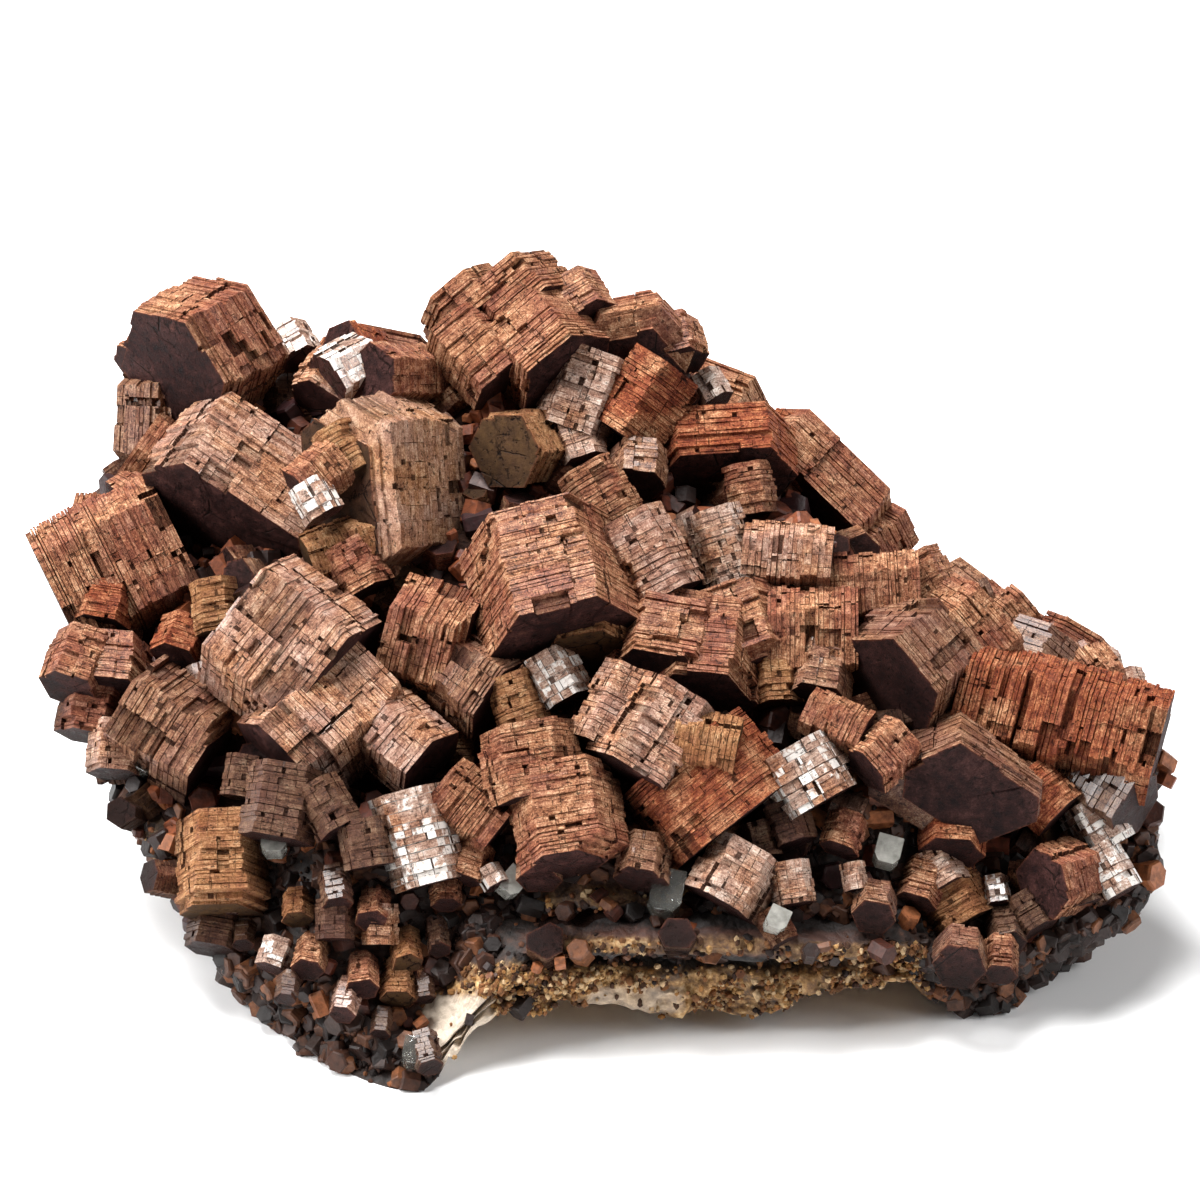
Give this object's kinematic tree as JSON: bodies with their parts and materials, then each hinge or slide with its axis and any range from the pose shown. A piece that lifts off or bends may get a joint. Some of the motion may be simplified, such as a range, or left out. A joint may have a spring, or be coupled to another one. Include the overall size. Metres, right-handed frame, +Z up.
{
  "type": "mineral specimen",
  "caption": "Cluster of blocky, plate-built hexagonal brown crystals grown over a dark layered rock, with small clear to grey crystals between them.",
  "frame": {"origin": "on the flat resting face of the rock, about below the middle of the crystals", "axes": "+Z up out of the crystals, +X along the longest way of the cluster, -Y towards the lower front edge where the rock is bare"},
  "size_m": [0.1094, 0.079, 0.0525],
  "materials": {
    "rock": "rough dark brown to black rock with ochre layers",
    "vanadinite": "satin rusty to plum-brown crystal faces, striated across the prism",
    "anglesite": "glassy, colourless to grey"
  },
  "bodies": {
    "root": {"matrix": "rock", "vanadinite_crystals": "vanadinite", "anglesite_1": "anglesite", "anglesite_2": "anglesite", "anglesite_3": "anglesite", "anglesite_4": "anglesite", "anglesite_5": "anglesite", "anglesite_6": "anglesite", "anglesite_7": "anglesite", "anglesite_8": "anglesite"}
  },
  "joints": []
}
